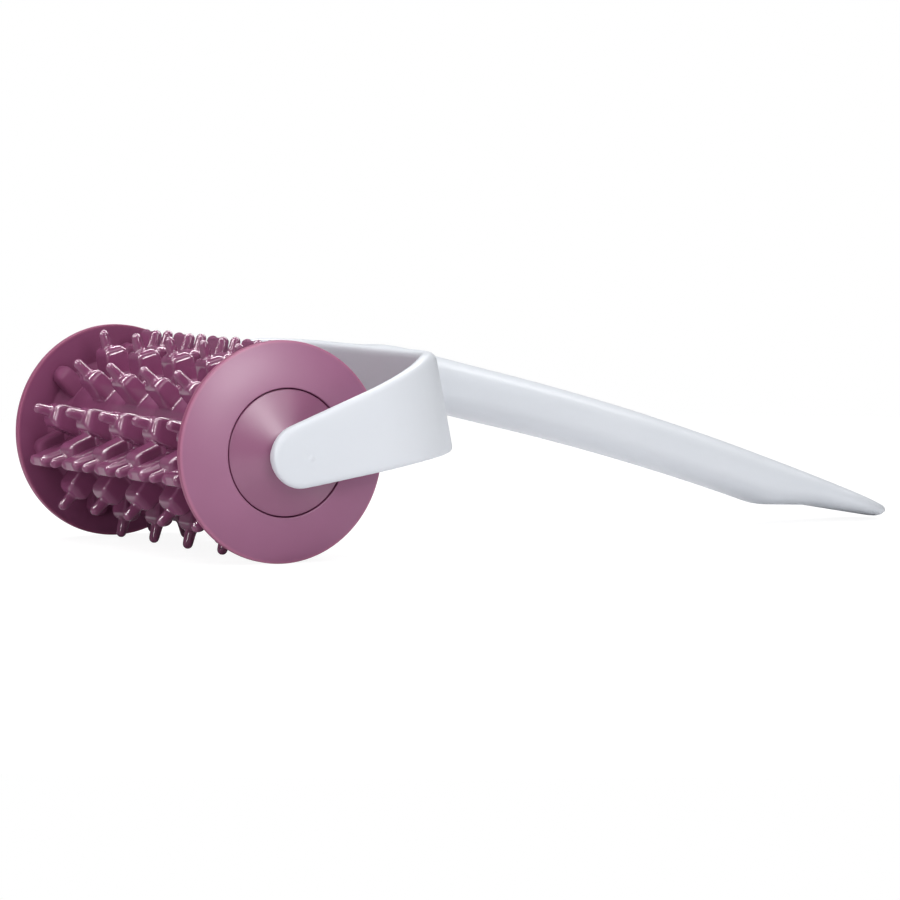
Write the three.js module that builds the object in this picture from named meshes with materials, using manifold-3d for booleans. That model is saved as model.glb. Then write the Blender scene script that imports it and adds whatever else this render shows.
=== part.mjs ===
// Dough docker: a spiked roller that spins in a one-piece plastic fork and handle.
// Millimetres. X runs from the roller to the handle's tip, Y along the roller's axle, Z up.
// The pieces are made about the middle of the axle, and the group then stands on Z = 0.

import * as THREE from 'three';
import { mergeVertices } from 'three/addons/utils/BufferGeometryUtils.js';
import Module from 'manifold-3d';

const wasm = await Module();
wasm.setup();

// Clearances
const RUNNING_GAP = 0.3; // between the turning roller and what carries it
const STACK_GAP = 0.3; // between neighbours in the roller's stack
const SLIP_GAP = 0.3; // all round a piece that is pushed into another

// Spike rings: a hub with six blocks, and one tapered pin on each block
const RING_COUNT = 9;
const RING_PITCH = 10;
const BLOCKS_PER_RING = 6;
const VALLEY_RADIUS = 15.2;
const SHOULDER_RADIUS = 22.5;
const NARROW_HALF = 2.2; // a block's shoulder, from its pin's axis to a plain flank
const WIDE_HALF = 3.4; // and to a flank that faces a row of blades
const NARROW_DRAFT = 0.06; // how fast a flank spreads towards the hub
const WIDE_DRAFT = 0.14;
const BLOCK_LENGTH = 7.7; // along the axle
const BLOCK_EDGE = 0.8; // chamfer round each block's two flat ends
const SHOULDER_EDGE = 1.1; // chamfer where a block's flanks meet its shoulder
const PIN_ROOT_RADIUS = 1.45;
const PIN_TIP_RADIUS = 1.2;
const PIN_LENGTH = 4.2;
const ROOT_SEAT = 1.2; // how deep a pin or a blade runs into what carries it
const FIRST_BLOCK_ANGLE = THREE.MathUtils.degToRad(45); // middle ring, from +X towards +Z

// Blades: three thin webs on every second ring, between the pins of its neighbours, each with a round
// post at either end
const BLADES_PER_RING = 3;
const BLADE_RADIUS = 25.9;
const BLADE_LENGTH = 7.2;
const BLADE_TOP_WIDTH = 2.1;
const BLADE_WAIST_WIDTH = 3.4;
const BLADE_ROOT_WIDTH = 5.2;
const POST_SPACING = 6;
const POST_ROOT_RADIUS = 2;
const POST_TIP_RADIUS = 1.25;
const POST_RISE = 0.7; // how far a post stands above the web

// Core tube: a twelve-sided tube that keys the rings a twelfth of a turn apart
const CORE_SIDES = 12;
const RING_WALL = 4.6; // between the core and the valley
const CORE_WALL = 2.2;

// End discs: thin cones with half blocks on the inner face
const DISC_RADIUS = 27;
const DISC_WALL = 2;
const DISC_RISE = 2.85; // from the rim to the edge of the cap's seat
const RIM_EDGE = 0.5;
const SEAT_RADIUS = 15.65;
const SEAT_DEPTH = 2.5;
const BOSS_WALL = 1.6;

// Hub caps: cones that close the discs and turn on the axle
const CAP_RISE = 3.4;
const CAP_TOP_RADIUS = 5;
const CAP_COLLAR = 0.8; // flat collar that runs against the fork's arm
const CAP_LIP = 0.25; // how far the cap's edge lies below the disc's
const SPIGOT_LENGTH = 9;

// Axle: a plain rod held in blind sockets in the fork's arms
const AXLE_RADIUS = 3;
const AXLE_EDGE = 0.4;
const SOCKET_SKIN = 1.2; // plastic left between a socket's floor and the arm's outer face

// Fork: two arms that grow towards a deep rounded back
const ARM_WALL = 3.3;
const BACK_WALL = 4.8;
const HUB_RADIUS = 7.85;
const HUB_SHIFT = 0.9; // how far the hub's rounding sits behind the axle
const HUB_DROP = 0.5; // and below it
const ARM_TOP_SLOPE = 0.382;
const ARM_BOTTOM_SLOPE = 0.157;
const ARM_TAPER_END = 42;
const CREST_BLEND = 6; // half the length of the curve where an arm meets the level back
const BACK_REACH = 52; // from the axle to the back's outer face, at the lean's pivot
const BACK_LEAN = 0.2; // how far the back runs forward for each millimetre of height
const LEAN_PIVOT = 9; // height of the lean's pivot above the axle
const CORNER_RADIUS = 33;

// Handle: an oval bar that curves down from the fork's back to a thin tip
const TIP_REACH = 199.6; // from the axle to the handle's tip
const BACK_TOP = 22.7;
const GRIP_TOP = 22.2; // the handle's top where it leaves the back, a little below the fork's
const TOP_CURVE = -0.00072;
const HANDLE_ROOT_DEPTH = 14.5;
const GRIP_DEPTH = 12.8;
const HANDLE_ROOT_WIDTH = 27;
const GRIP_WIDTH = 21;
const FLARE_LENGTH = 22;
const FACET_LENGTH = 41; // the thinned end, back from the tip
const TIP_ROUNDING = 13; // length of the handle's rounded end, seen from above
const TIP_BLUNTNESS = 0.35; // the share of the width that is left at the tip
const TIP_DEPTH = 3.4;
const OVAL_POWER = 2.5;

// Mesh resolution
const TURN_STEPS = 48;
const SMALL_TURN_STEPS = 24;
const HUB_STEPS = 24;
const PIN_STEPS = 8;
const DOME_STEPS = 2;
const OVAL_STEPS = 20;
const FLARE_STEPS = 5;
const GRIP_STEPS = 8;
const FACET_STEPS = 7;
const FORK_STEPS = 10;

// Places worked out from the sizes above
const RIM_HALF_SPAN = (RING_COUNT + 1) * RING_PITCH / 2;
const CORE_RADIUS = VALLEY_RADIUS - RING_WALL;
const CORE_BORE_RADIUS = CORE_RADIUS - CORE_WALL;
const BOSS_RADIUS = SEAT_RADIUS + BOSS_WALL;
const SEAT_LEVEL = RIM_HALF_SPAN + DISC_RISE;
const SEAT_FLOOR = SEAT_LEVEL - SEAT_DEPTH;
const CAP_TOP_LEVEL = SEAT_LEVEL - CAP_LIP + CAP_RISE + CAP_COLLAR;
const ARM_INNER = CAP_TOP_LEVEL + RUNNING_GAP;
const ARM_OUTER = ARM_INNER + ARM_WALL;
const SOCKET_FLOOR = ARM_OUTER - SOCKET_SKIN;
const STACK_END = RIM_HALF_SPAN - RING_PITCH / 2;
const HALF_TURN_STEP = Math.PI / BLOCKS_PER_RING;
const BLADE_STEP = 2 * Math.PI / BLADES_PER_RING;
const FIRST_BLADE_ANGLE = FIRST_BLOCK_ANGLE + HALF_TURN_STEP;
const HANDLE_START = BACK_REACH - BACK_WALL / 2;
const FACET_START = TIP_REACH - FACET_LENGTH;
const GRIP_LENGTH = TIP_REACH - BACK_REACH;
const GRIP_FALL = DISC_RADIUS + GRIP_TOP - TIP_DEPTH; // so that the tip stands on the table, as the discs do
const TOP_SLOPE = -GRIP_FALL / GRIP_LENGTH - TOP_CURVE * GRIP_LENGTH;
const HUB_BOTTOM = -HUB_DROP - HUB_RADIUS * Math.hypot(1, ARM_BOTTOM_SLOPE);
const HUB_TOP = HUB_RADIUS * Math.hypot(1, ARM_TOP_SLOPE) - HUB_DROP;
const BACK_BOTTOM = HUB_BOTTOM + ARM_BOTTOM_SLOPE * (ARM_TAPER_END - HUB_SHIFT);

// Solids for joining and cutting

function solid(geometry) {
  const bare = new THREE.BufferGeometry();
  bare.setAttribute('position', geometry.getAttribute('position').clone());
  if (geometry.index) {
    bare.setIndex(geometry.index.clone());
  }
  const merged = mergeVertices(bare, 1e-4);
  const vertProperties = new Float32Array(merged.getAttribute('position').array);
  const corners = merged.index.array;
  const kept = [];
  for (let i = 0; i < corners.length; i += 3) {
    const [a, b, c] = [corners[i], corners[i + 1], corners[i + 2]];
    if (a !== b && b !== c && c !== a) {
      kept.push(a, b, c);
    }
  }
  return new wasm.Manifold(new wasm.Mesh({ numProp: 3, vertProperties, triVerts: new Uint32Array(kept) }));
}

function geometryOf(manifold) {
  const { vertProperties, triVerts } = manifold.getMesh();
  const geometry = new THREE.BufferGeometry();
  geometry.setAttribute('position', new THREE.BufferAttribute(new Float32Array(vertProperties), 3));
  geometry.setIndex(new THREE.BufferAttribute(new Uint32Array(triVerts), 1));
  geometry.computeVertexNormals();
  return geometry;
}

// Shapes drawn in X and Z and made thick along Y, between two levels

function prism(shape, fromY, toY, options = {}) {
  const edge = options.edge ?? 0;
  const geometry = new THREE.ExtrudeGeometry(shape, {
    depth: toY - fromY - 2 * edge,
    bevelEnabled: edge > 0,
    bevelThickness: edge,
    bevelSize: edge,
    bevelOffset: -edge,
    bevelSegments: 1,
    curveSegments: options.curveSegments ?? FORK_STEPS,
  });
  return geometry.translate(0, 0, edge - toY).rotateX(Math.PI / 2);
}

function turned(profile, steps) {
  return new THREE.LatheGeometry(profile.map(([radius, level]) => new THREE.Vector2(radius, level)), steps);
}

function polar(radius, angle) {
  return new THREE.Vector2(radius * Math.cos(angle), radius * Math.sin(angle));
}

function polygon(radius, sides) {
  return new THREE.Shape(Array.from({ length: sides }, (_, i) => polar(radius, (i + 0.5) * 2 * Math.PI / sides)));
}

// A closed shape from its two sides, turned to its angle about the axle. Each side is listed from
// the root outwards, as distance from the axle and distance from the middle line
function twoSided(low, high, angle) {
  const right = low.map(([along, across]) => new THREE.Vector2(along, -across));
  const left = high.map(([along, across]) => new THREE.Vector2(along, across)).reverse();
  return new THREE.Shape([...right, ...left].map((point) => point.rotateAround(new THREE.Vector2(), angle)));
}

function spread(from, to, steps) {
  return Array.from({ length: steps }, (_, i) => from + (to - from) * i / steps);
}

function blockSide(half, draft) {
  const seat = VALLEY_RADIUS - ROOT_SEAT;
  return [
    [seat, half + draft * (SHOULDER_RADIUS - seat)],
    [SHOULDER_RADIUS - SHOULDER_EDGE, half + draft * SHOULDER_EDGE],
    [SHOULDER_RADIUS, half - SHOULDER_EDGE],
  ];
}

// A block at an angle: a flank is wide where it faces the nearest row of blades, or stands in it
function blockShape(angle, bladeAngle) {
  const turns = (bladeAngle - angle) / BLADE_STEP;
  const toBlades = (turns - Math.round(turns)) * BLADE_STEP / HALF_TURN_STEP;
  const faces = (side) => Math.abs(toBlades - side / 2) < 1;
  const side = (sign) => (faces(sign) ? blockSide(WIDE_HALF, WIDE_DRAFT) : blockSide(NARROW_HALF, NARROW_DRAFT));
  return twoSided(side(-1), side(1), angle);
}

function bladeShape(angle) {
  const topHalf = BLADE_TOP_WIDTH / 2;
  const dome = spread(0, Math.PI / 2, DOME_STEPS).map((turn) => [
    BLADE_RADIUS - topHalf + Math.sin(turn) * topHalf,
    Math.cos(turn) * topHalf,
  ]);
  const side = [
    [VALLEY_RADIUS - ROOT_SEAT, BLADE_ROOT_WIDTH / 2],
    [VALLEY_RADIUS, BLADE_ROOT_WIDTH / 2],
    [SHOULDER_RADIUS - SHOULDER_EDGE, BLADE_WAIST_WIDTH / 2],
    ...dome,
  ];
  return twoSided(side, [...side, [BLADE_RADIUS, 0]], angle);
}

function blockAngles(firstAngle) {
  return Array.from({ length: BLOCKS_PER_RING }, (_, i) => firstAngle + i * 2 * HALF_TURN_STEP);
}

// A tapered round spike with a domed tip, standing on +X at a place along the axle and then turned to its angle
function spike(foot, tip, rootRadius, tipRadius, along, angle) {
  const dome = spread(0, Math.PI / 2, DOME_STEPS).map((turn) => [
    Math.cos(turn) * tipRadius,
    tip - tipRadius + Math.sin(turn) * tipRadius,
  ]);
  const profile = [[0, foot], [rootRadius, foot], ...dome, [0, tip]];
  return solid(turned(profile, PIN_STEPS).rotateZ(-Math.PI / 2).translate(0, along, 0).rotateY(-angle));
}

function pin(angle) {
  const foot = SHOULDER_RADIUS - ROOT_SEAT;
  return spike(foot, SHOULDER_RADIUS + PIN_LENGTH, PIN_ROOT_RADIUS, PIN_TIP_RADIUS, 0, angle);
}

function blade(angle) {
  const foot = VALLEY_RADIUS - ROOT_SEAT;
  const posts = [-POST_SPACING / 2, POST_SPACING / 2].map((along) => (
    spike(foot, BLADE_RADIUS + POST_RISE, POST_ROOT_RADIUS, POST_TIP_RADIUS, along, angle)));
  return centred(bladeShape(angle), BLADE_LENGTH, 0).add(posts[0]).add(posts[1]);
}

function centred(shape, length, edge) {
  return solid(prism(shape, -length / 2, length / 2, { edge }));
}

function spikeRing(index) {
  const stepsFromMiddle = index - (RING_COUNT - 1) / 2;
  const firstAngle = FIRST_BLOCK_ANGLE + stepsFromMiddle * HALF_TURN_STEP;
  let ring = centred(polygon(VALLEY_RADIUS, HUB_STEPS), RING_PITCH - STACK_GAP, 0);
  for (const angle of blockAngles(firstAngle)) {
    const block = centred(blockShape(angle, FIRST_BLADE_ANGLE), BLOCK_LENGTH, BLOCK_EDGE);
    ring = ring.add(block).add(pin(angle));
  }
  if (stepsFromMiddle % 2 === 0) {
    for (let i = 0; i < BLADES_PER_RING; i += 1) {
      ring = ring.add(blade(FIRST_BLADE_ANGLE + i * BLADE_STEP));
    }
  }
  ring = ring.subtract(centred(polygon(CORE_RADIUS + SLIP_GAP, CORE_SIDES), 2 * RING_PITCH, 0));
  return geometryOf(ring).translate(0, stepsFromMiddle * RING_PITCH, 0);
}

// Core tube, the same length as the stack of rings and the bosses of both discs
function coreTube() {
  const tube = centred(polygon(CORE_RADIUS, CORE_SIDES), 2 * SEAT_FLOOR, 0);
  const bore = turned([
    [0, -SEAT_LEVEL],
    [CORE_BORE_RADIUS, -SEAT_LEVEL],
    [CORE_BORE_RADIUS, SEAT_LEVEL],
    [0, SEAT_LEVEL],
  ], TURN_STEPS);
  return geometryOf(tube.subtract(solid(bore)));
}

// An end disc on the +Y end: a thin cone, a boss with the cap's seat, and six half blocks
function endDisc(firstAngle, bladeAngle) {
  const inner = STACK_END + STACK_GAP / 2;
  const slope = DISC_RISE / (DISC_RADIUS - SEAT_RADIUS);
  const outerLevel = (radius) => RIM_HALF_SPAN + slope * (DISC_RADIUS - radius);
  const innerLevel = (radius) => outerLevel(radius) - DISC_WALL;
  const cone = turned([
    [0, inner],
    [VALLEY_RADIUS, inner],
    [VALLEY_RADIUS, SEAT_FLOOR - BOSS_WALL],
    [BOSS_RADIUS, SEAT_FLOOR - BOSS_WALL],
    [BOSS_RADIUS, innerLevel(BOSS_RADIUS)],
    [DISC_RADIUS - RIM_EDGE, innerLevel(DISC_RADIUS)],
    [DISC_RADIUS, innerLevel(DISC_RADIUS) + RIM_EDGE],
    [DISC_RADIUS, RIM_HALF_SPAN - RIM_EDGE],
    [DISC_RADIUS - RIM_EDGE, outerLevel(DISC_RADIUS - RIM_EDGE)],
    [SEAT_RADIUS, SEAT_LEVEL],
    [SEAT_RADIUS, SEAT_FLOOR],
    [0, SEAT_FLOOR],
  ], TURN_STEPS);
  let disc = solid(cone);
  const blockEnd = (innerLevel(SHOULDER_RADIUS) + outerLevel(SHOULDER_RADIUS)) / 2;
  for (const angle of blockAngles(firstAngle)) {
    const block = prism(blockShape(angle, bladeAngle), RIM_HALF_SPAN - BLOCK_LENGTH / 2, blockEnd);
    disc = disc.add(solid(block));
  }
  const key = prism(polygon(CORE_RADIUS + SLIP_GAP, CORE_SIDES), 0, 2 * RIM_HALF_SPAN);
  return geometryOf(disc.subtract(solid(key)));
}

// A hub cap on the +Y end: a cone with a spigot in the core tube and a bore for the axle
function hubCap() {
  const edgeLevel = SEAT_LEVEL - CAP_LIP;
  const spigotRadius = CORE_BORE_RADIUS - SLIP_GAP;
  const boreRadius = AXLE_RADIUS + RUNNING_GAP;
  const underside = SEAT_FLOOR + STACK_GAP;
  return turned([
    [boreRadius, underside - SPIGOT_LENGTH],
    [spigotRadius, underside - SPIGOT_LENGTH],
    [spigotRadius, underside],
    [SEAT_RADIUS - SLIP_GAP, underside],
    [SEAT_RADIUS - SLIP_GAP, edgeLevel],
    [CAP_TOP_RADIUS, CAP_TOP_LEVEL - CAP_COLLAR],
    [CAP_TOP_RADIUS, CAP_TOP_LEVEL],
    [boreRadius, CAP_TOP_LEVEL],
    [boreRadius, underside - SPIGOT_LENGTH],
  ], TURN_STEPS);
}

// Axle rod, with a running gap to the bottom of each socket
function axleRod() {
  const end = SOCKET_FLOOR - SLIP_GAP;
  return turned([
    [0, -end],
    [AXLE_RADIUS - AXLE_EDGE, -end],
    [AXLE_RADIUS, -end + AXLE_EDGE],
    [AXLE_RADIUS, end - AXLE_EDGE],
    [AXLE_RADIUS - AXLE_EDGE, end],
    [0, end],
  ], SMALL_TURN_STEPS);
}

// The fork seen from above: a U with rounded corners, open at the roller
function forkPlan() {
  const mouth = -2 * HUB_RADIUS;
  const turnX = BACK_REACH - CORNER_RADIUS;
  const turnY = ARM_OUTER - CORNER_RADIUS;
  const innerX = BACK_REACH - BACK_WALL;
  const innerRadius = CORNER_RADIUS - BACK_WALL;
  const innerTurnX = innerX - innerRadius;
  const innerTurnY = ARM_INNER - innerRadius;
  const shape = new THREE.Shape();
  shape.moveTo(mouth, -ARM_OUTER);
  shape.lineTo(turnX, -ARM_OUTER);
  shape.absarc(turnX, -turnY, CORNER_RADIUS, -Math.PI / 2, 0, false);
  shape.absarc(turnX, turnY, CORNER_RADIUS, 0, Math.PI / 2, false);
  shape.lineTo(mouth, ARM_OUTER);
  shape.lineTo(mouth, ARM_INNER);
  shape.lineTo(innerTurnX, ARM_INNER);
  shape.absarc(innerTurnX, innerTurnY, innerRadius, Math.PI / 2, 0, true);
  shape.absarc(innerTurnX, -innerTurnY, innerRadius, 0, -Math.PI / 2, true);
  shape.lineTo(mouth, -ARM_INNER);
  return shape;
}

// The fork seen from the side: round hub, tapered arm, level back
function forkSide() {
  const topAngle = Math.atan(ARM_TOP_SLOPE);
  const bottomAngle = Math.atan(ARM_BOTTOM_SLOPE);
  const crest = HUB_SHIFT + (BACK_TOP - HUB_TOP) / ARM_TOP_SLOPE;
  const far = BACK_REACH + CORNER_RADIUS;
  const shape = new THREE.Shape();
  shape.absarc(HUB_SHIFT, -HUB_DROP, HUB_RADIUS, Math.PI / 2 + topAngle, 1.5 * Math.PI + bottomAngle, false);
  shape.lineTo(ARM_TAPER_END, BACK_BOTTOM);
  shape.lineTo(far, BACK_BOTTOM);
  shape.lineTo(far, BACK_TOP);
  shape.lineTo(crest + CREST_BLEND, BACK_TOP);
  shape.quadraticCurveTo(crest, BACK_TOP, crest - CREST_BLEND, BACK_TOP - CREST_BLEND * ARM_TOP_SLOPE);
  return shape;
}

// Handle sections: ovals along X, each with its top, depth and width
function handleSection(x) {
  const fallen = Math.max(0, x - BACK_REACH);
  const top = GRIP_TOP + TOP_SLOPE * fallen + TOP_CURVE * fallen ** 2;
  const thinned = Math.max(0, x - FACET_START) / FACET_LENGTH;
  const along = (x - HANDLE_START) / (TIP_REACH - HANDLE_START);
  const depth = THREE.MathUtils.lerp(THREE.MathUtils.lerp(HANDLE_ROOT_DEPTH, GRIP_DEPTH, along), TIP_DEPTH, thinned);
  const flare = Math.max(0, 1 - (x - HANDLE_START) / FLARE_LENGTH);
  const rounded = Math.max(0, x - TIP_REACH + TIP_ROUNDING) / TIP_ROUNDING;
  const narrowed = Math.sqrt(1 - (1 - TIP_BLUNTNESS ** 2) * rounded ** 2);
  const width = THREE.MathUtils.lerp(GRIP_WIDTH, HANDLE_ROOT_WIDTH, flare ** 2) * narrowed;
  return { top, depth, width };
}

function ovalRing(x) {
  const { top, depth, width } = handleSection(x);
  return Array.from({ length: OVAL_STEPS }, (_, i) => {
    const angle = i * 2 * Math.PI / OVAL_STEPS;
    const [c, s] = [Math.cos(angle), Math.sin(angle)];
    const across = Math.sign(c) * Math.abs(c) ** (2 / OVAL_POWER) * width / 2;
    const up = Math.sign(s) * Math.abs(s) ** (2 / OVAL_POWER) * depth / 2;
    return [x, across, top - depth / 2 + up];
  });
}

function handleBar() {
  const stations = [
    ...spread(HANDLE_START, HANDLE_START + FLARE_LENGTH, FLARE_STEPS),
    ...spread(HANDLE_START + FLARE_LENGTH, FACET_START, GRIP_STEPS),
    ...spread(FACET_START, TIP_REACH - TIP_ROUNDING, FACET_STEPS),
    ...spread(TIP_REACH - TIP_ROUNDING, TIP_REACH, FACET_STEPS),
    TIP_REACH,
  ];
  const rings = stations.map(ovalRing);
  const positions = rings.flat(2);
  const corners = [];
  for (let k = 0; k + 1 < rings.length; k += 1) {
    for (let i = 0; i < OVAL_STEPS; i += 1) {
      const next = (i + 1) % OVAL_STEPS;
      const [a, b] = [k * OVAL_STEPS + i, k * OVAL_STEPS + next];
      const [c, d] = [a + OVAL_STEPS, b + OVAL_STEPS];
      corners.push(a, b, d, a, d, c);
    }
  }
  const last = (rings.length - 1) * OVAL_STEPS;
  for (let i = 1; i + 1 < OVAL_STEPS; i += 1) {
    corners.push(0, i + 1, i, last, last + i, last + i + 1);
  }
  const geometry = new THREE.BufferGeometry();
  geometry.setAttribute('position', new THREE.Float32BufferAttribute(positions, 3));
  geometry.setIndex(corners);
  return geometry;
}

// Fork and handle, moulded as one: the U cut to its side view, the bar and the sockets
function forkHandle() {
  const tall = 2 * DISC_RADIUS;
  const lean = new THREE.Matrix4().makeShear(0, 0, 0, 0, -BACK_LEAN, 0);
  const plan = new THREE.ExtrudeGeometry(forkPlan(), { depth: tall, bevelEnabled: false, curveSegments: FORK_STEPS });
  plan.translate(0, 0, -tall / 2 - LEAN_PIVOT).applyMatrix4(lean).translate(0, 0, LEAN_PIVOT);
  const side = prism(forkSide(), -2 * ARM_OUTER, 2 * ARM_OUTER, { curveSegments: FORK_STEPS });
  let body = solid(plan).intersect(solid(side)).add(solid(handleBar()));
  for (const end of [-1, 1]) {
    const socket = turned([
      [0, 0],
      [AXLE_RADIUS + SLIP_GAP, 0],
      [AXLE_RADIUS + SLIP_GAP, SOCKET_FLOOR],
      [0, SOCKET_FLOOR],
    ], SMALL_TURN_STEPS);
    body = body.subtract(solid(end > 0 ? socket : socket.rotateX(Math.PI)));
  }
  return geometryOf(body);
}

// Finishes

const whitePlastic = new THREE.MeshStandardMaterial({ color: 0xe6e8ec, roughness: 0.45, metalness: 0 });
const purpleGloss = new THREE.MeshStandardMaterial({ color: 0x8a3f70, roughness: 0.18, metalness: 0 });
const purpleSatin = new THREE.MeshStandardMaterial({ color: 0xa86f98, roughness: 0.4, metalness: 0 });
const innerPlastic = new THREE.MeshStandardMaterial({ color: 0x8a3f70, roughness: 0.5, metalness: 0 });
const axleSteel = new THREE.MeshStandardMaterial({ color: 0xb9bcc0, roughness: 0.3, metalness: 1 });

// Assembly

const docker = new THREE.Group();
docker.position.set(-(TIP_REACH - DISC_RADIUS) / 2, 0, DISC_RADIUS);

function place(name, geometry, material) {
  const mesh = new THREE.Mesh(geometry, material);
  mesh.name = name;
  docker.add(mesh);
  return mesh;
}

place('fork_handle', forkHandle(), whitePlastic);
place('axle_rod', axleRod(), axleSteel);
place('core_tube', coreTube(), innerPlastic);
for (let index = 0; index < RING_COUNT; index += 1) {
  place(`spike_ring_${index + 1}`, spikeRing(index), purpleGloss);
}

// The discs stand one step past the last rings, so their half blocks follow on; the near end is
// the far end's piece turned half round, which swaps the two block angles
const discAngle = FIRST_BLOCK_ANGLE + (RING_COUNT + 1) / 2 * HALF_TURN_STEP;
const nearDisc = endDisc(Math.PI - discAngle, Math.PI - FIRST_BLADE_ANGLE);
place('end_disc_far', endDisc(discAngle, FIRST_BLADE_ANGLE), purpleSatin);
place('end_disc_near', nearDisc, purpleSatin).rotation.z = Math.PI;
place('hub_cap_far', hubCap(), purpleSatin);
place('hub_cap_near', hubCap(), purpleSatin).rotation.z = Math.PI;

export default docker;
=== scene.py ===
import math

import bmesh
import bpy
from mathutils import Matrix, Vector


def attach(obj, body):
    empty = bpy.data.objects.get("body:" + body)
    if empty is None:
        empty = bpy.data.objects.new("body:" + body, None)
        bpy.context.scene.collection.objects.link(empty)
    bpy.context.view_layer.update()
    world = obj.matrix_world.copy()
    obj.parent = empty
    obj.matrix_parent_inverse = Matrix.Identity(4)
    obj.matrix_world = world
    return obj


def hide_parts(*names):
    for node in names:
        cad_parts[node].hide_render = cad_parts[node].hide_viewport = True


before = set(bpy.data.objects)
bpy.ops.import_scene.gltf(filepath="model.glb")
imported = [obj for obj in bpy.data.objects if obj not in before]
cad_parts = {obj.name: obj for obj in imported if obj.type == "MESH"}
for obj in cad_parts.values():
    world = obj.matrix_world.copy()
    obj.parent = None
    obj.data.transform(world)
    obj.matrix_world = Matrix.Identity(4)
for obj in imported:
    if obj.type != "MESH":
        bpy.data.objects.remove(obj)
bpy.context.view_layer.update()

# Fork and handle
# One injection moulding in white plastic: two flat arms that grow into a deep rounded back, and an
# oval handle that curves down from it. The arms spring apart to let the axle's ends into their sockets.

millimetre = 0.001
axle_middle = Vector((-86.3, 0, 27)) * millimetre

hub_radius, hub_shift, hub_drop = 7.85, 0.9, 0.5
arm_inner, arm_outer = 57.12, 60.2
back_inner, back_outer = 47.2, 52.0
corner_outer, corner_inner = 33.0, 28.2
top_rise, bottom_rise = 0.382, 0.16
back_top, back_bottom = 22.7, -1.7
back_lean, lean_pivot = 0.2, 9.0
lean_start, lean_full = 4.0, 19.0
top_edge, bottom_edge = 2.0, 1.1
edge_share, edge_room = 0.42, 2.2
crest_blend, keel_blend = 1.0, 2.5
hub_steps, arm_steps, corner_steps = 18, 6, 16


def smooth_step(low, high, value):
    """A share that eases from 0 at low to 1 at high."""
    t = min(1.0, max(0.0, (value - low) / (high - low)))
    return t * t * (3 - 2 * t)


def soft_lower(a, b, blend):
    """The lower of two heights, with a rounded change from one to the other."""
    h = max(0.0, blend - abs(a - b)) / blend
    return min(a, b) - h * h * blend / 4


def arm_top(x):
    """The arm's upper outline: round the hub, up a straight slope and level along the back."""
    from_hub = x - hub_shift
    if from_hub < -hub_radius * math.sin(math.atan(top_rise)):
        return math.sqrt(max(0.0, hub_radius ** 2 - from_hub ** 2)) - hub_drop
    slope = hub_radius * math.hypot(1, top_rise) - hub_drop + top_rise * from_hub
    return soft_lower(slope, back_top, crest_blend)


def arm_bottom(x):
    """The arm's lower outline: round the hub, up a gentler slope and level along the back."""
    from_hub = x - hub_shift
    if from_hub < hub_radius * math.sin(math.atan(bottom_rise)):
        return -math.sqrt(max(0.0, hub_radius ** 2 - from_hub ** 2)) - hub_drop
    slope = bottom_rise * from_hub - hub_drop - hub_radius * math.hypot(1, bottom_rise)
    return soft_lower(slope, back_bottom, keel_blend)


def wall_section(outer, inner, steps=5):
    """The rim of the fork's wall at one station: a tall rounded rectangle between two points of the plan."""
    thickness = (outer - inner).length
    points = []
    for across, level, start in ((1, 1, 0), (0, 1, 90), (0, 0, 180), (1, 0, 270)):
        edge = min(top_edge if level else bottom_edge, thickness * edge_share)
        for step in range(steps + 1):
            angle = math.radians(start + 90 * step / steps)
            side = 1 - edge / thickness if across else edge / thickness
            flat = inner.lerp(outer, side + math.cos(angle) * edge / thickness)
            drop = edge * (1 - math.sin(angle)) if level else -edge * (1 + math.sin(angle))
            lean = back_lean * smooth_step(lean_start, lean_full, flat.x)
            height = 0.0
            for _ in range(3):
                x = flat.x - lean * (height - lean_pivot)
                top, bottom = arm_top(x), arm_bottom(x)
                room = min(1.0, (top - bottom) / (edge_room * edge))
                height = top - drop * room if level else bottom - drop * room
            points.append(Vector((x, flat.y, height)))
    return points


def wall_stations():
    """Pairs of points in the fork's plan, outer and inner, from the near arm's hub round to the far one's."""
    turn = Vector((back_outer - corner_outer, arm_outer - corner_outer))
    inner_turn = Vector((back_inner - corner_inner, arm_inner - corner_inner))
    pairs = []
    for step in range(1, hub_steps + 1):
        x = hub_shift - hub_radius * math.cos(math.radians(90 * step / hub_steps))
        pairs.append((Vector((x, arm_outer)), Vector((x, arm_inner))))
    for step in range(1, arm_steps + 1):
        x = hub_shift + (turn.x - hub_shift) * step / arm_steps
        pairs.append((Vector((x, arm_outer)), Vector((x, arm_inner))))
    for step in range(1, corner_steps + 1):
        angle = math.radians(90 * step / corner_steps)
        out = Vector((math.sin(angle), math.cos(angle)))
        pairs.append((turn + out * corner_outer, inner_turn + out * corner_inner))
    near = [(Vector((o.x, -o.y)), Vector((i.x, -i.y))) for o, i in pairs]
    return near + pairs[::-1]


def loft(bm, sections):
    """A closed skin through rims of the same count: each rim is extruded to the next and set in place."""
    rim = bmesh.ops.create_circle(bm, segments=len(sections[0]), radius=1, cap_ends=True)["verts"]
    for vert, point in zip(rim, sections[0]):
        vert.co = point
    edges = list(dict.fromkeys(e for v in rim for e in v.link_edges))
    for section in sections[1:]:
        made = bmesh.ops.extrude_edge_only(bm, edges=edges)["geom"]
        edges = [g for g in made if isinstance(g, bmesh.types.BMEdge)]
        fresh = {v for e in edges for v in e.verts}
        partner = {}
        for vert in rim:
            for edge in vert.link_edges:
                other = edge.other_vert(vert)
                if other in fresh:
                    partner[vert] = other
        rim = [partner[v] for v in rim]
        for vert, point in zip(rim, section):
            vert.co = point
        edges = [e for e in edges if all(v in fresh for v in e.verts)]
    bmesh.ops.contextual_create(bm, geom=edges)
    bmesh.ops.recalc_face_normals(bm, faces=bm.faces)


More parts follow.
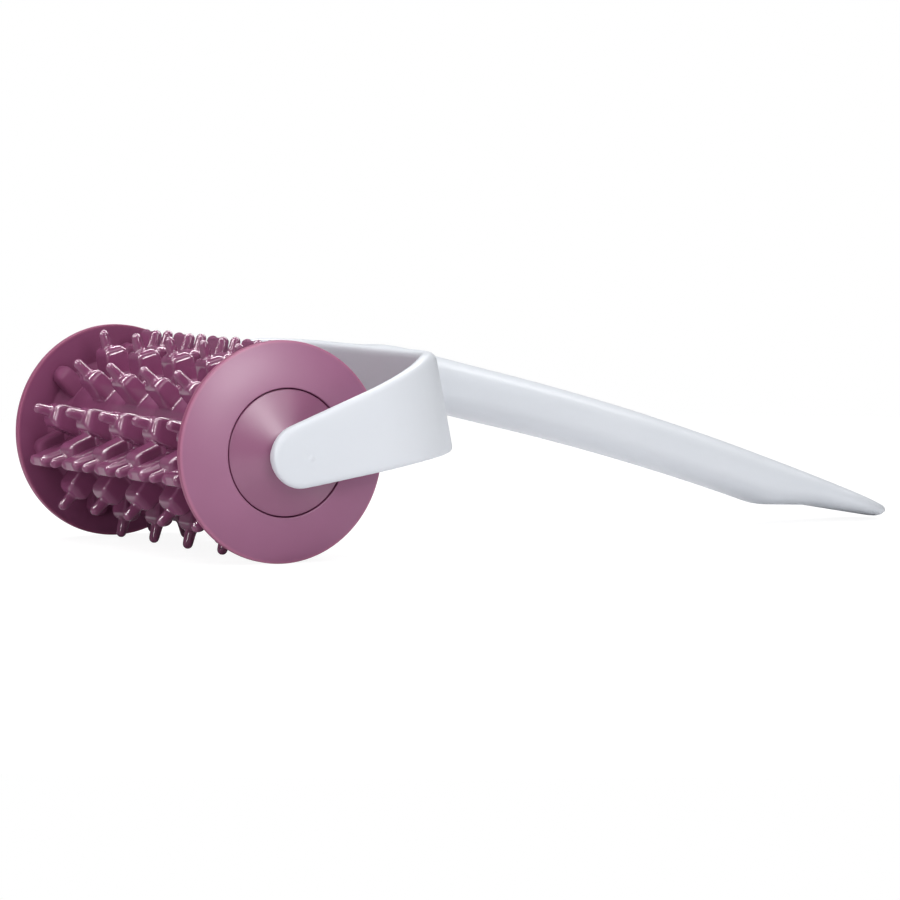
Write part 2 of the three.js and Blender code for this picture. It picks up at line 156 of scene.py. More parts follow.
grip_top, tip_reach = 22.2, 199.4
grip_slope, grip_curve = -0.204, -0.00072
root_depth, grip_depth = 14.5, 12.8
root_width, grip_width = 29.0, 21.0
flare_length = 26.0
root_lift, lift_length, root_blend = 0.9, 30.0, 1.0
flat_start, slant_start = 162.0, 175.2
flat_level, flat_fall, slant_fall, flat_blend = -22.0, 0.045, 0.175, 0.5
tip_rounding, tip_narrowing = 14.0, 0.86
tip_undercut, tip_undercut_length = 1.5, 2.8
tip_crown, tip_crown_length = 0.9, 1.8


def handle_section(x, count=56, power=2.5):
    """An oval across the handle: level top at the root, a curved grip, and a flatter underside near the tip."""
    fallen = x - back_outer
    lift = root_lift * max(0.0, 1 - fallen / lift_length) ** 1.5
    curve = grip_top + lift + grip_slope * fallen + grip_curve * fallen * abs(fallen)
    top = soft_lower(back_top, curve, root_blend)
    along = (x - back_inner) / (tip_reach - back_inner)
    depth = root_depth + (grip_depth - root_depth) * along
    flat_part = flat_level - flat_fall * (x - flat_start)
    slant = flat_level - flat_fall * (slant_start - flat_start) - slant_fall * (x - slant_start)
    bottom = -soft_lower(depth - top, -min(flat_part, slant), flat_blend)
    bottom += tip_undercut * max(0.0, 1 - (tip_reach - x) / tip_undercut_length)
    top -= tip_crown * max(0.0, 1 - (tip_reach - x) / tip_crown_length) ** 2
    flare = max(0.0, 1 - (x - back_inner) / flare_length)
    nose = max(0.0, x - tip_reach + tip_rounding) / tip_rounding
    width = grip_width + (root_width - grip_width) * flare ** 2
    width *= math.sqrt(1 - tip_narrowing * nose ** 2)
    points = []
    for step in range(count):
        angle = 2 * math.pi * step / count
        c, s = math.cos(angle), math.sin(angle)
        across = math.copysign(abs(c) ** (2 / power), c) * width / 2
        up = math.copysign(abs(s) ** (2 / power), s) * (top - bottom) / 2
        points.append(Vector((x, across, (top + bottom) / 2 + up)))
    return points


def moulded(bm, voxel, rounds, keep):
    """One closed skin round the overlapping shells of a bmesh, its corners eased like those of a moulding."""
    mesh = bpy.data.meshes.new("shells")
    bm.to_mesh(mesh)
    bm.free()
    shells = bpy.data.objects.new("shells", mesh)
    bpy.context.scene.collection.objects.link(shells)
    skin = shells.modifiers.new("skin", "REMESH")
    skin.mode = "VOXEL"
    skin.voxel_size = voxel
    bpy.context.view_layer.update()
    eased = bmesh.new()
    eased.from_object(shells, bpy.context.evaluated_depsgraph_get())
    for _ in range(rounds):
        bmesh.ops.smooth_vert(eased, verts=eased.verts, factor=0.5,
                              use_axis_x=True, use_axis_y=True, use_axis_z=True)
    eased.to_mesh(mesh)
    eased.free()
    shells.modifiers.remove(skin)
    thin = shells.modifiers.new("thin", "DECIMATE")
    thin.ratio = keep
    bpy.context.view_layer.update()
    done = bmesh.new()
    done.from_object(shells, bpy.context.evaluated_depsgraph_get())
    bpy.data.objects.remove(shells)
    bpy.data.meshes.remove(mesh)
    return done


def set_piece(bm, name, finish, body, node):
    """Bring a shape made in millimetres about the axle to its place, and hang it on its body."""
    bmesh.ops.scale(bm, vec=(millimetre,) * 3, verts=bm.verts)
    bmesh.ops.translate(bm, vec=axle_middle, verts=bm.verts)
    mesh = bpy.data.meshes.new(name)
    bm.to_mesh(mesh)
    bm.free()
    mesh.shade_smooth()
    mesh.set_sharp_from_angle(angle=math.radians(50))
    mesh.materials.append(finish)
    piece = bpy.data.objects.new(name, mesh)
    bpy.context.scene.collection.objects.link(piece)
    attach(piece, body)
    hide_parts(node)
    return piece


def surface_group():
    """Marks that all the mouldings share: soft mottling, fine crossed scratches, and a peel like an orange's."""
    group = bpy.data.node_groups.new("moulding_marks", "ShaderNodeTree")
    for name, way in (("Mottle Size", "INPUT"), ("Scratch Size", "INPUT"), ("Peel Size", "INPUT"),
                      ("Mottle", "OUTPUT"), ("Scratches", "OUTPUT"), ("Peel", "OUTPUT")):
        group.interface.new_socket(name=name, in_out=way, socket_type="NodeSocketFloat")
    nodes, links = group.nodes, group.links
    given = nodes.new("NodeGroupInput")
    out = nodes.new("NodeGroupOutput")
    place = nodes.new("ShaderNodeTexCoord")
    mottle = nodes.new("ShaderNodeTexNoise")
    mottle.inputs["Detail"].default_value = 4
    links.new(place.outputs["Object"], mottle.inputs["Vector"])
    links.new(given.outputs["Mottle Size"], mottle.inputs["Scale"])
    links.new(mottle.outputs["Fac"], out.inputs["Mottle"])
    peel = nodes.new("ShaderNodeTexNoise")
    peel.inputs["Detail"].default_value = 2
    links.new(place.outputs["Object"], peel.inputs["Vector"])
    links.new(given.outputs["Peel Size"], peel.inputs["Scale"])
    links.new(peel.outputs["Fac"], out.inputs["Peel"])
    total = None
    for turn, stretch in (((0, 0.5, 0), (1, 1, 22)), ((0, 1.9, 0.2), (1, 1, 26)), ((0.1, 2.8, 0), (1, 1, 18))):
        lay = nodes.new("ShaderNodeMapping")
        lay.inputs["Rotation"].default_value = turn
        lay.inputs["Scale"].default_value = stretch
        links.new(place.outputs["Object"], lay.inputs["Vector"])
        line = nodes.new("ShaderNodeTexNoise")
        line.inputs["Detail"].default_value = 2
        links.new(lay.outputs["Vector"], line.inputs["Vector"])
        links.new(given.outputs["Scratch Size"], line.inputs["Scale"])
        thin = nodes.new("ShaderNodeMapRange")
        thin.inputs["From Min"].default_value = 0.66
        thin.inputs["From Max"].default_value = 0.74
        links.new(line.outputs["Fac"], thin.inputs["Value"])
        if total is None:
            total = thin
            continue
        both = nodes.new("ShaderNodeMath")
        both.operation = "MAXIMUM"
        links.new(total.outputs[0], both.inputs[0])
        links.new(thin.outputs[0], both.inputs[1])
        total = both
    links.new(total.outputs[0], out.inputs["Scratches"])
    return group


moulding_marks = surface_group()


def plastic(name, dark, light, rough, sizes, bump, scratch_rough, sheen=0.5):
    """A plastic finish: its colour drifts between two shades, and its marks change the gloss and the surface."""
    material = bpy.data.materials.new(name)
    material.use_nodes = True
    nodes, links = material.node_tree.nodes, material.node_tree.links
    shader = nodes["Principled BSDF"]
    shader.inputs["Specular IOR Level"].default_value = sheen
    marks = nodes.new("ShaderNodeGroup")
    marks.node_tree = moulding_marks
    for socket, size in zip(("Mottle Size", "Scratch Size", "Peel Size"), sizes):
        marks.inputs[socket].default_value = size
    shade = nodes.new("ShaderNodeMix")
    shade.data_type = "RGBA"
    shade.inputs["A"].default_value = (*dark, 1)
    shade.inputs["B"].default_value = (*light, 1)
    links.new(marks.outputs["Mottle"], shade.inputs["Factor"])
    links.new(shade.outputs["Result"], shader.inputs["Base Color"])
    gloss = nodes.new("ShaderNodeMapRange")
    gloss.inputs["To Min"].default_value = rough
    gloss.inputs["To Max"].default_value = rough + scratch_rough
    links.new(marks.outputs["Scratches"], gloss.inputs["Value"])
    links.new(gloss.outputs["Result"], shader.inputs["Roughness"])
    height = nodes.new("ShaderNodeMath")
    height.operation = "SUBTRACT"
    links.new(marks.outputs["Peel"], height.inputs[0])
    links.new(marks.outputs["Scratches"], height.inputs[1])
    relief = nodes.new("ShaderNodeBump")
    relief.inputs["Strength"].default_value = bump
    relief.inputs["Distance"].default_value = 0.04 * millimetre
    links.new(height.outputs[0], relief.inputs["Height"])
    links.new(relief.outputs["Normal"], shader.inputs["Normal"])
    return material


white_plastic = plastic("white_plastic", (0.73, 0.765, 0.82), (0.80, 0.825, 0.87), rough=0.36,
                        sizes=(28, 260, 900), bump=0.25, scratch_rough=0.12)

# The mould's gate leaves a shallow dish with a nub in it on the near arm: place, reach and height of each.
gate_marks = (((1.6, -arm_outer, -0.1), 2.4, -0.16), ((3.0, -arm_outer, -1.1), 1.0, 0.2))
gate_nodes, gate_links = white_plastic.node_tree.nodes, white_plastic.node_tree.links
gate_place = gate_nodes.new("ShaderNodeTexCoord")
gate_height = gate_nodes.new("ShaderNodeMath")
for index, (spot, reach, level) in enumerate(gate_marks):
    away = gate_nodes.new("ShaderNodeVectorMath")
    away.operation = "DISTANCE"
    away.inputs[1].default_value = axle_middle + Vector(spot) * millimetre
    dome = gate_nodes.new("ShaderNodeMapRange")
    dome.interpolation_type = "SMOOTHSTEP"
    dome.inputs["From Max"].default_value = reach * millimetre
    dome.inputs["To Min"].default_value = level * millimetre
    dome.inputs["To Max"].default_value = 0.0
    gate_links.new(gate_place.outputs["Object"], away.inputs[0])
    gate_links.new(away.outputs["Value"], dome.inputs["Value"])
    gate_links.new(dome.outputs["Result"], gate_height.inputs[index])
gate_relief = gate_nodes.new("ShaderNodeBump")
gate_relief.inputs["Distance"].default_value = 1.0
gate_links.new(gate_height.outputs[0], gate_relief.inputs["Height"])
gate_links.new(gate_nodes["Bump"].outputs["Normal"], gate_relief.inputs["Normal"])
gate_links.new(gate_relief.outputs["Normal"], gate_nodes["Principled BSDF"].inputs["Normal"])

fork_shells = bmesh.new()
loft(fork_shells, [wall_section(outer, inner) for outer, inner in wall_stations()])
handle_root = back_inner + 1.2
handle_steps = 150
loft(fork_shells, [handle_section(handle_root + (tip_reach - handle_root) * step / handle_steps)
                   for step in range(handle_steps + 1)])
fork_skin = moulded(fork_shells, voxel=0.45, rounds=5, keep=0.4)
set_piece(fork_skin, "fork_handle_moulding", white_plastic, "frame", "fork_handle")

# Axle
# A plain drawn steel rod that runs through the roller and sits in a blind socket in each arm.
# It stays as its CAD solid, with the fine lines that drawing leaves along it.

axle_steel = bpy.data.materials.new("axle_steel")
axle_steel.use_nodes = True
steel_nodes, steel_links = axle_steel.node_tree.nodes, axle_steel.node_tree.links
steel = steel_nodes["Principled BSDF"]
steel.inputs["Metallic"].default_value = 1.0
steel.inputs["Base Color"].default_value = (0.5, 0.51, 0.53, 1)
steel_place = steel_nodes.new("ShaderNodeTexCoord")
steel_lay = steel_nodes.new("ShaderNodeMapping")
steel_lay.inputs["Scale"].default_value = (1, 0.01, 1)
drawn_lines = steel_nodes.new("ShaderNodeTexNoise")
drawn_lines.inputs["Scale"].default_value = 2500
steel_gloss = steel_nodes.new("ShaderNodeMapRange")
steel_gloss.inputs["To Min"].default_value = 0.2
steel_gloss.inputs["To Max"].default_value = 0.42
steel_links.new(steel_place.outputs["Object"], steel_lay.inputs["Vector"])
steel_links.new(steel_lay.outputs["Vector"], drawn_lines.inputs["Vector"])
steel_links.new(drawn_lines.outputs["Fac"], steel_gloss.inputs["Value"])
steel_links.new(steel_gloss.outputs["Result"], steel.inputs["Roughness"])
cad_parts["axle_rod"].data.materials.clear()
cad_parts["axle_rod"].data.materials.append(axle_steel)

# Core tube
# A twelve-sided plastic tube that the rings slide onto, each a twelfth of a turn from the last.
# It is hidden inside the roller and stays as its CAD solid, in the rings' plastic as it leaves the mould.

core_plastic = plastic("core_plastic", (0.16, 0.035, 0.09), (0.2, 0.045, 0.115), rough=0.45,
                       sizes=(40, 300, 1200), bump=0.3, scratch_rough=0.1)
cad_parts["core_tube"].data.materials.clear()
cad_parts["core_tube"].data.materials.append(core_plastic)

# Spike rings
# Nine glossy plastic mouldings on the core, each with six blocks that carry a pin. Every second ring also
# has three thin blades, and blocks are wider on the side that faces a row of blades.

ring_pitch, ring_count = 10.0, 9
ring_gap, cut_spare = 0.02, 1.5
valley_radius, bore_radius, root_sink = 15.2, 10.9, 1.5
shoulder_radius, shoulder_depth, shoulder_inset = 22.5, 2.0, 1.7
pin_tip, pin_foot_radius, pin_radius = 26.95, 1.55, 1.3
neck_foot, neck_tip, neck_foot_radius, neck_radius = 21.6, 24.2, 2.05, 1.1
block_half_length, block_edge = 3.9, 0.8
plain_half, wide_half = 2.25, 3.5
plain_spread, wide_spread = 0.06, 0.14
first_blade, blade_ring_start, plain_ring_start = 75, 45, 15
web_radius, web_half, web_spread, web_edge, web_overhang = 26.2, 1.35, 0.1, 0.5, 0.6
post_place, post_sink, post_tip, post_foot_radius, post_radius = 3.0, 1.0, 26.75, 2.0, 1.28


def add_web(bm):
    """The thin wall between a blade's two posts, its two top edges rounded."""
    levels = [(valley_radius - root_sink, 0.0)]
    for step in range(4):
        angle = math.radians(30 * step)
        levels.append((web_radius - web_edge * (1 - math.sin(angle)), web_edge * (1 - math.cos(angle))))
    sections = []
    for level, inset in levels:
        across = web_half + web_spread * (web_radius - level) - inset
        sections.append([Vector((level, way * (post_place + web_overhang), side * across))
                         for way, side in ((1, 1), (-1, 1), (-1, -1), (1, -1))])
    loft(bm, sections)


def block_section(level, sides, steps=4):
    """A rounded rectangle across a block, which spreads towards the foot and draws in over the shoulder."""
    over = max(0.0, level - shoulder_radius + shoulder_depth) / shoulder_depth
    inset = shoulder_inset * (1 - math.sqrt(1 - min(1.0, over) ** 2))
    length = block_half_length - inset
    points = []
    for way, side, start in ((1, 1, 0), (-1, 1, 90), (-1, 0, 180), (1, 0, 270)):
        half, spread = sides[side]
        across = half + spread * (shoulder_radius - level) - inset
        edge = min(block_edge, across, length)
        for step in range(steps + 1):
            angle = math.radians(start + 90 * step / steps)
            points.append(Vector((level, way * (length - edge) + math.cos(angle) * edge,
                                  (2 * side - 1) * (across - edge) + math.sin(angle) * edge)))
    return points


def add_block(bm, sides):
    """A block with upright rounded corners and a shoulder like a bottle's."""
    levels = [valley_radius - root_sink]
    for step in range(10):
        levels.append(shoulder_radius - shoulder_depth * (1 - math.sin(math.radians(10 * step))))
    loft(bm, [block_section(level, sides) for level in levels])


def add_post(bm, foot, tip, wide, slim, along):
    """A round post on +X with a domed tip, a little wider at its foot."""
    spot = Matrix.Translation(((foot + tip - slim) / 2, along, 0)) @ Matrix.Rotation(math.pi / 2, 4, "Y")
    bmesh.ops.create_cone(bm, cap_ends=True, segments=32, radius1=wide, radius2=slim,
                          depth=tip - slim - foot, matrix=spot)
    dome = Matrix.Translation((tip - slim, along, 0))
    bmesh.ops.create_uvsphere(bm, u_segments=32, v_segments=16, radius=slim, matrix=dome)


def turned(bm, made_before, angle):
    """Turn everything new in the bmesh about the axle, from +X towards +Z."""
    fresh = [v for v in bm.verts if v not in made_before]
    bmesh.ops.rotate(bm, verts=fresh, cent=(0, 0, 0), matrix=Matrix.Rotation(-math.radians(angle), 3, "Y"))


def block_sides(angle):
    """The two flanks of a block, each wide where it faces a row of blades or stands in one."""
    to_blades = ((first_blade - angle + 60) % 120 - 60) / 30
    return [(wide_half, wide_spread) if abs(to_blades - side / 2) < 1 else (plain_half, plain_spread)
            for side in (-1, 1)]


def ring_shape(first_block, with_blades):
    """One ring about the axle, on its own middle plane, with its ends cut square."""
    bm = bmesh.new()
    tube_half = ring_pitch / 2 + cut_spare
    rim = bmesh.ops.create_circle(bm, segments=96, radius=valley_radius)["verts"]
    hole = bmesh.ops.create_circle(bm, segments=12, radius=bore_radius / math.cos(math.pi / 12))["verts"]
    edges = list(dict.fromkeys(e for v in rim + hole for e in v.link_edges))
    wall = bmesh.ops.bridge_loops(bm, edges=edges)["faces"]
    grown = bmesh.ops.extrude_face_region(bm, geom=wall)["geom"]
    grown = [g for g in grown if isinstance(g, bmesh.types.BMVert)]
    bmesh.ops.translate(bm, vec=(0, 0, 2 * tube_half), verts=grown)
    bmesh.ops.translate(bm, vec=(0, 0, -tube_half), verts=bm.verts)
    bmesh.ops.rotate(bm, verts=bm.verts, cent=(0, 0, 0), matrix=Matrix.Rotation(math.pi / 2, 3, "X"))
    for step in range(6):
        angle = first_block + 60 * step
        before = set(bm.verts)
        add_block(bm, block_sides(angle))
        add_post(bm, neck_foot, pin_tip, pin_foot_radius, pin_radius, 0)
        add_post(bm, neck_foot, neck_tip, neck_foot_radius, neck_radius, 0)
        turned(bm, before, angle)
    if with_blades:
        for step in range(3):
            before = set(bm.verts)
            add_web(bm)
            for end in (-1, 1):
                add_post(bm, valley_radius - post_sink, post_tip, post_foot_radius, post_radius, end * post_place)
            turned(bm, before, first_blade + 120 * step)
    bmesh.ops.recalc_face_normals(bm, faces=bm.faces)
    bm = moulded(bm, voxel=0.24, rounds=4, keep=0.5)
    for way in (-1, 1):
        bmesh.ops.bisect_plane(bm, geom=bm.verts[:] + bm.edges[:] + bm.faces[:], clear_outer=True,
                               plane_co=(0, way * (ring_pitch / 2 - ring_gap), 0), plane_no=(0, way, 0))
        bmesh.ops.bridge_loops(bm, edges=[e for e in bm.edges if e.is_boundary])
    bmesh.ops.recalc_face_normals(bm, faces=bm.faces)
    return bm


ring_gloss = plastic("ring_gloss", (0.222, 0.061, 0.138), (0.285, 0.084, 0.185), rough=0.05,
                     sizes=(60, 320, 700), bump=0.05, scratch_rough=0.04, sheen=0.4)
ring_kinds = [ring_shape(blade_ring_start, True), ring_shape(plain_ring_start, False)]
ring_pieces = []
for index in range(ring_count):
    ring = ring_kinds[index % 2].copy()
    bmesh.ops.translate(ring, vec=(0, (index - ring_count // 2) * ring_pitch, 0), verts=ring.verts)
    ring_name = f"spike_ring_{index + 1}"
    ring_pieces.append(set_piece(ring, ring_name + "_moulding", ring_gloss, "roller", ring_name))

# End discs
# Two thin satin cones of the same plastic that limit how deep the pins go. The inner face carries six
# half blocks that carry on the rings' pattern, and a seat in the outer face takes the hub cap.

disc_radius, disc_wall = 27.0, 2.0
disc_edge, disc_bore = 0.3, bore_radius + 0.02
rim_level, seat_level, seat_radius = 50.0, 52.85, 15.65
seat_floor, outer_skin = 50.35, 0.9
boss_level, boss_foot, boss_flare, boss_spread = 45.02, 47.6, 48.6, 0.6
boss_radius = seat_radius + 2.2
halves_cut = 49.6


def spun(profile, edge, steps=160):
    """A shape turned about the axle from a profile of radius and level, with its sharp edges rounded."""
    bm = bmesh.new()
    corners = [bm.verts.new((radius, level, 0)) for radius, level in profile]
    edges = [bm.edges.new((a, b)) for a, b in zip(corners, corners[1:] + corners[:1])]
    bmesh.ops.spin(bm, geom=corners + edges, cent=(0, 0, 0), axis=(0, 1, 0), angle=2 * math.pi, steps=steps,
                   use_merge=True)
    bmesh.ops.remove_doubles(bm, verts=bm.verts, dist=1e-4)
    bmesh.ops.recalc_face_normals(bm, faces=bm.faces)
    sharp = [e for e in bm.edges if e.is_manifold and e.calc_face_angle() > math.radians(25)]
    bmesh.ops.bevel(bm, geom=sharp, offset=edge, offset_type="OFFSET", segments=3, profile=0.5, affect="EDGES",
                    material=-1, clamp_overlap=True)
    return bm


def joined(base, extra):
    """The union of two closed shapes."""
    pair = []
    for shape in (base, extra):
        mesh = bpy.data.meshes.new("half")
        shape.to_mesh(mesh)
        shape.free()
        half = bpy.data.objects.new("half", mesh)
        bpy.context.scene.collection.objects.link(half)
        pair.append(half)
    union = pair[0].modifiers.new("union", "BOOLEAN")
    union.operation = "UNION"
    union.solver = "EXACT"
    union.object = pair[1]
    bpy.context.view_layer.update()
    done = bmesh.new()
    done.from_object(pair[0], bpy.context.evaluated_depsgraph_get())
    for half in pair:
        mesh = half.data
        bpy.data.objects.remove(half)
        bpy.data.meshes.remove(mesh)
    return done


def disc_shape():
    """The far disc: a cone with a boss that runs in to the last ring, and half blocks beside it."""
    rise = (seat_level - rim_level) / (disc_radius - seat_radius)
    back = rim_level - disc_wall
    bm = spun([(disc_bore, boss_level), (valley_radius, boss_level), (valley_radius, boss_foot),
               (valley_radius + boss_spread, boss_flare), (boss_radius, back + rise * (disc_radius - boss_radius)),
               (disc_radius, back), (disc_radius, rim_level), (seat_radius, seat_level),
               (seat_radius, seat_floor), (disc_bore, seat_floor)], disc_edge)
    halves = bmesh.new()
    for step in range(6):
        angle = plain_ring_start + 60 * step
        before = set(halves.verts)
        add_block(halves, block_sides(angle))
        turned(halves, before, angle)
    bmesh.ops.recalc_face_normals(halves, faces=halves.faces)
    halves = moulded(halves, voxel=0.3, rounds=5, keep=0.5)
    bmesh.ops.translate(halves, vec=(0, rim_level, 0), verts=halves.verts)
    bmesh.ops.bisect_plane(halves, geom=halves.verts[:] + halves.edges[:] + halves.faces[:], clear_outer=True,
                           plane_co=(0, halves_cut, 0), plane_no=(0, 1, 0))
    bmesh.ops.holes_fill(halves, edges=[e for e in halves.edges if e.is_boundary])
    bmesh.ops.recalc_face_normals(halves, faces=halves.faces)
    bm = joined(bm, halves)
    for face in bm.faces:
        middle = face.calc_center_median()
        radius = math.hypot(middle.x, middle.z)
        face.material_index = int(middle.y < rim_level + rise * (disc_radius - radius) - outer_skin)
    return bm


def mirrored(shape):
    """The same shape for the near end, with its faces turned outwards again."""
    other = shape.copy()
    bmesh.ops.scale(other, vec=(1, -1, 1), verts=other.verts)
    bmesh.ops.reverse_faces(other, faces=other.faces)
    return other


def painted_rim_glow(finish, colour):
    """Turn a finish to another colour at the disc's thin rim: a painted glow of the light that comes through the
    plastic there.
    """
    nodes, links = finish.node_tree.nodes, finish.node_tree.links
    place = nodes.new("ShaderNodeTexCoord")
    middle = nodes.new("ShaderNodeVectorMath")
    middle.operation = "SUBTRACT"
    middle.inputs[1].default_value = axle_middle
    flat = nodes.new("ShaderNodeVectorMath")
    flat.operation = "MULTIPLY"
    flat.inputs[1].default_value = (1, 0, 1)
    distance = nodes.new("ShaderNodeVectorMath")
    distance.operation = "LENGTH"
    rim_glow_mask = nodes.new("ShaderNodeMapRange")
    rim_glow_mask.inputs["From Min"].default_value = (disc_radius - 0.75) * millimetre
    rim_glow_mask.inputs["From Max"].default_value = (disc_radius - 0.25) * millimetre
    shade = nodes.new("ShaderNodeMix")
    shade.data_type = "RGBA"
    shade.inputs["B"].default_value = (*colour, 1)
    links.new(place.outputs["Object"], middle.inputs[0])
    links.new(middle.outputs["Vector"], flat.inputs[0])
    links.new(flat.outputs["Vector"], distance.inputs[0])
    links.new(distance.outputs["Value"], rim_glow_mask.inputs["Value"])
    links.new(rim_glow_mask.outputs["Result"], shade.inputs["Factor"])
    links.new(nodes["Mix"].outputs["Result"], shade.inputs["A"])
    links.new(shade.outputs["Result"], nodes["Principled BSDF"].inputs["Base Color"])


# The outer faces' colour is lighter than the rings' plastic: partly the plastic's own colour, partly a painted
# sheen, the pale veil that the satin face shows in the light.
disc_satin_painted_sheen = plastic("disc_satin_painted_sheen", (0.305, 0.111, 0.21), (0.36, 0.138, 0.256), rough=0.42,
                     sizes=(45, 420, 1500), bump=0.15, scratch_rough=0.05, sheen=0.45)
# The outer face's rim takes a painted glow, a lighter pink where light comes through the thin plastic.
painted_rim_glow(disc_satin_painted_sheen, (0.43, 0.15, 0.26))
inner_satin = plastic("inner_satin", (0.23, 0.064, 0.143), (0.285, 0.084, 0.182), rough=0.42,
                      sizes=(45, 420, 1500), bump=0.3, scratch_rough=0.14, sheen=0.12)
# The inner face's rim takes a painted glow too, where light comes through the thin plastic.
painted_rim_glow(inner_satin, (0.34, 0.1, 0.19))
far_disc = disc_shape()
satin_pieces = []
for disc, name in ((mirrored(far_disc), "end_disc_near"), (far_disc, "end_disc_far")):
    satin_pieces.append(set_piece(disc, name + "_moulding", disc_satin_painted_sheen, "roller", name))
    satin_pieces[-1].data.materials.append(inner_satin)

# Hub caps
# Satin cones pushed into the discs' seats, where a fine seam shows round them. A spigot holds each in
# the core tube, its bore runs on the axle, and a flat collar runs against the fork's arm.

spigot_level, cap_floor, cap_edge_level, cap_top_level = 41.65, 50.65, 52.6, 56.8
cap_radius, collar_radius, collar_height = seat_radius - 0.3, 5.0, 0.8
spigot_radius, cap_bore, cap_edge = 8.1, 3.3, 0.22
far_cap = spun([(cap_bore, spigot_level), (spigot_radius, spigot_level), (spigot_radius, cap_floor),
                (cap_radius, cap_floor), (cap_radius, cap_edge_level),
                (collar_radius, cap_top_level - collar_height), (collar_radius, cap_top_level),
                (cap_bore, cap_top_level)], cap_edge)
cap_satin = plastic("cap_satin", (0.255, 0.083, 0.17), (0.3, 0.103, 0.2), rough=0.29,
                    sizes=(50, 420, 1500), bump=0.1, scratch_rough=0.03, sheen=0.84)
for cap, name in ((mirrored(far_cap), "hub_cap_near"), (far_cap, "hub_cap_far")):
    satin_pieces.append(set_piece(cap, name + "_moulding", cap_satin, "roller", name))

# Studio
# A pale floor that fades to white, two long lights overhead, a soft one to the left and a small panel by the
# near arm. Narrow lamps give the glints on the rings, a far panel the glow on the discs and caps, and the
# camera stands where the photograph was taken.

floor_radius, floor_white, white_share, gloss_share = 0.5, 1.22, 0.75, 0.08
floor_mesh = bpy.data.meshes.new("floor")
floor_shape = bmesh.new()
bmesh.ops.create_circle(floor_shape, segments=64, radius=floor_radius, cap_ends=True)
floor_shape.to_mesh(floor_mesh)
floor_shape.free()
floor = bpy.data.objects.new("floor", floor_mesh)
bpy.context.scene.collection.objects.link(floor)
floor_paint = bpy.data.materials.new("floor_paint")
floor_paint.use_nodes = True
paint_nodes, paint_links = floor_paint.node_tree.nodes, floor_paint.node_tree.links
paint_nodes.remove(paint_nodes["Principled BSDF"])
paint_flat = paint_nodes.new("ShaderNodeEmission")
paint_flat.inputs["Strength"].default_value = floor_white
paint_lit = paint_nodes.new("ShaderNodeBsdfDiffuse")
paint_lit.inputs["Color"].default_value = (0.8, 0.8, 0.81, 1)
paint_mix = paint_nodes.new("ShaderNodeMixShader")


def seen_as_white(nodes, links, socket, low, high):
    """Give a socket its high value for the camera and clear pieces, a little of it for gloss, else its low one."""
    path = nodes.new("ShaderNodeLightPath")
    gloss = nodes.new("ShaderNodeMath")
    gloss.operation = "MULTIPLY"
    gloss.inputs[1].default_value = gloss_share
    links.new(path.outputs["Is Glossy Ray"], gloss.inputs[0])
    looks = gloss.outputs[0]
    for kind in ("Is Camera Ray", "Is Transmission Ray"):
        either = nodes.new("ShaderNodeMath")
        either.operation = "MAXIMUM"
        links.new(looks, either.inputs[0])
        links.new(path.outputs[kind], either.inputs[1])
        looks = either.outputs[0]
    level = nodes.new("ShaderNodeMapRange")
    level.inputs["To Min"].default_value = low
    level.inputs["To Max"].default_value = high
    links.new(looks, level.inputs["Value"])
    links.new(level.outputs["Result"], socket)


seen_as_white(paint_nodes, paint_links, paint_mix.inputs["Fac"], 0.0, white_share)
paint_links.new(paint_lit.outputs[0], paint_mix.inputs[1])
paint_links.new(paint_flat.outputs[0], paint_mix.inputs[2])
paint_links.new(paint_mix.outputs[0], paint_nodes["Material Output"].inputs["Surface"])
floor_mesh.materials.append(floor_paint)

world = bpy.data.worlds.new("studio_air")
bpy.context.scene.world = world
world.use_nodes = True
air = world.node_tree.nodes["Background"]
air.inputs["Color"].default_value = (1, 1, 1, 1)
seen_as_white(world.node_tree.nodes, world.node_tree.links, air.inputs["Strength"], 0.12, 1.0)

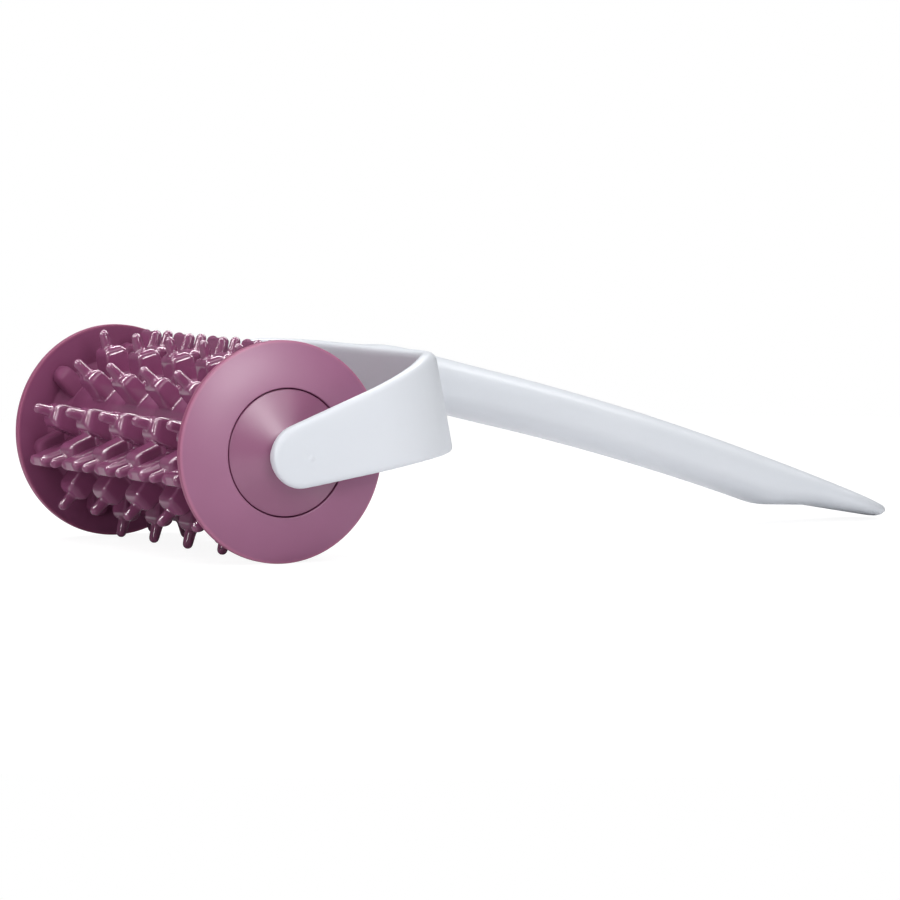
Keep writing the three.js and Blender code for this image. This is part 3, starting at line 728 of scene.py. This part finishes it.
heading, height_angle, roll = math.radians(-27.4624), math.radians(3.8546), 0.0026
axle_right, axle_up, axle_ahead = -63.503, 2.392, 1415.78
right = Vector((math.cos(heading), math.sin(heading), 0))
towards = Vector((math.sin(heading), -math.cos(heading), 0))
target = Vector((-0.04, 0, 0.03))
gloss_groups = {}
for group_name, members in (("ring_glints", ring_pieces), ("satin_glints", satin_pieces)):
    gloss_groups[group_name] = bpy.data.collections.new(group_name)
    for piece in members:
        gloss_groups[group_name].objects.link(piece)
for name, side, near, above, size, watts, gloss_of in (
        ("front_strip", -0.05, 0.25, 0.5, (1.1, 0.12), 2.4, None),
        ("back_strip", -0.05, -0.3, 0.5, (1.1, 0.12), 3.3, None),
        ("left_key", -0.5, 0.95, 0.25, (0.5, 0.3), 1.6, None),
        ("right_panel", 0.15, 0.36, 0.18, (0.2, 0.2), 0.46, None),
        ("front_glint", -0.35, 0.25, 0.5, (0.9, 0.08), 14.0, "ring_glints"),
        ("back_glint", 0.0, -0.3, 0.5, (1.9, 0.06), 14.0, "ring_glints"),
        ("right_glint", 0.78, 0.8, 0.3, (0.1, 0.6), 6.5, "ring_glints"),
        ("left_glint", -0.62, 0.93, 0.33, (0.05, 0.5), 4.0, "ring_glints"),
        ("side_glint", -1.1, 0.08, 0.33, (0.05, 0.5), 4.0, "ring_glints"),
        ("top_glint", 0.42, -0.12, 0.55, (0.5, 0.05), 4.0, "ring_glints"),
        ("panel_glint", 1.05, 1.5, 0.72, (0.5, 0.5), 24.0, "satin_glints")):
    lamp = bpy.data.lights.new(name, "AREA")
    lamp.shape = "RECTANGLE"
    lamp.size, lamp.size_y = size
    lamp.energy = watts
    holder = bpy.data.objects.new(name, lamp)
    spot = target + right * side + towards * near + Vector((0, 0, above))
    beam = (target - spot).normalized()
    across = (right - beam * right.dot(beam)).normalized()
    turn = Matrix((across, across.cross(beam), -beam)).transposed().to_4x4()
    turn.translation = spot
    holder.matrix_world = turn
    if gloss_of:
        holder.visible_diffuse = False
        holder.light_linking.receiver_collection = gloss_groups[gloss_of]
    bpy.context.scene.collection.objects.link(holder)

ahead = -towards * math.cos(height_angle) - Vector((0, 0, math.sin(height_angle)))
up = right.cross(ahead)
right, up = (right - up * roll).normalized(), (up + right * roll).normalized()
camera = bpy.data.cameras.new("camera")
camera.sensor_width = 36
camera.lens = 227.788
camera.clip_end = 20
viewpoint = bpy.data.objects.new("camera", camera)
stand = Matrix((right, up, -ahead)).transposed().to_4x4()
stand.translation = axle_middle - (right * axle_right + up * axle_up + ahead * axle_ahead) * millimetre
viewpoint.matrix_world = stand
bpy.context.scene.collection.objects.link(viewpoint)
bpy.context.scene.camera = viewpoint
bpy.context.scene.view_settings.view_transform = "Standard"
